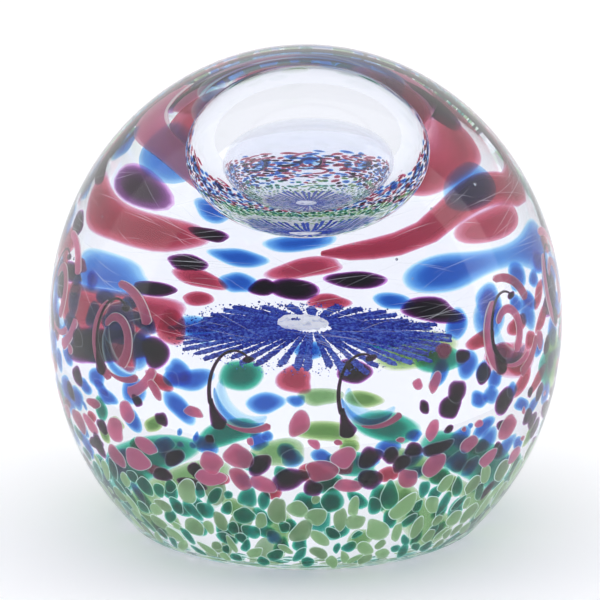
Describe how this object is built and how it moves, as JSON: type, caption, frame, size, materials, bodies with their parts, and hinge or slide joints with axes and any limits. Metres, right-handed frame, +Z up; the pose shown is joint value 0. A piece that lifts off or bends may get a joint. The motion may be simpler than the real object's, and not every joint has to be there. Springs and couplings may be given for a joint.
{
  "type": "paperweight",
  "caption": "Round clear glass paperweight, flat at the foot, with an air bubble over a blue powder flower and a bowl of coloured glass chips ending in pulled swirls.",
  "frame": {"origin": "centre of the flat foot, where it rests on the desk", "axes": "+Z up along the axis of revolution, front is -Y"},
  "size_m": [0.08, 0.08, 0.0748],
  "materials": {
    "clear_glass": "clear, fire-polished",
    "blue_powder": "powdered glass, granular",
    "white_glass": "opaque opal",
    "sage_glass": "semi-opaque",
    "deep_green_glass": "transparent, saturated",
    "yellow_green_glass": "transparent",
    "rose_glass": "semi-opaque",
    "aubergine_glass": "nearly opaque, dark",
    "blue_glass": "transparent"
  },
  "bodies": {
    "root": {"chips_aubergine": "aubergine_glass", "chips_blue": "blue_glass", "chips_deep_green": "deep_green_glass", "chips_rose": "rose_glass", "chips_sage": "sage_glass", "chips_yellow_green": "yellow_green_glass", "first_gather": "clear_glass", "flower_centre": "white_glass", "flower_ribs": "blue_powder", "outer_casing": "clear_glass", "second_gather": "clear_glass", "swirl_01_aubergine": "aubergine_glass", "swirl_01_blue": "blue_glass", "swirl_01_rose": "rose_glass", "swirl_02_aubergine": "aubergine_glass", "swirl_02_blue": "blue_glass", "swirl_02_rose": "rose_glass", "swirl_03_aubergine": "aubergine_glass", "swirl_03_blue": "blue_glass", "swirl_03_rose": "rose_glass", "swirl_04_aubergine": "aubergine_glass", "swirl_04_blue": "blue_glass", "swirl_04_rose": "rose_glass", "swirl_05_aubergine": "aubergine_glass", "swirl_05_blue": "blue_glass", "swirl_05_rose": "rose_glass", "swirl_06_aubergine": "aubergine_glass", "swirl_06_blue": "blue_glass", "swirl_06_rose": "rose_glass", "swirl_07_aubergine": "aubergine_glass", "swirl_07_blue": "blue_glass", "swirl_07_rose": "rose_glass", "swirl_08_aubergine": "aubergine_glass", "swirl_08_blue": "blue_glass", "swirl_08_rose": "rose_glass", "swirl_09_aubergine": "aubergine_glass", "swirl_09_blue": "blue_glass", "swirl_09_rose": "rose_glass", "swirl_10_aubergine": "aubergine_glass", "swirl_10_blue": "blue_glass", "swirl_10_rose": "rose_glass", "swirl_11_aubergine": "aubergine_glass", "swirl_11_blue": "blue_glass", "swirl_11_rose": "rose_glass"}
  },
  "joints": []
}
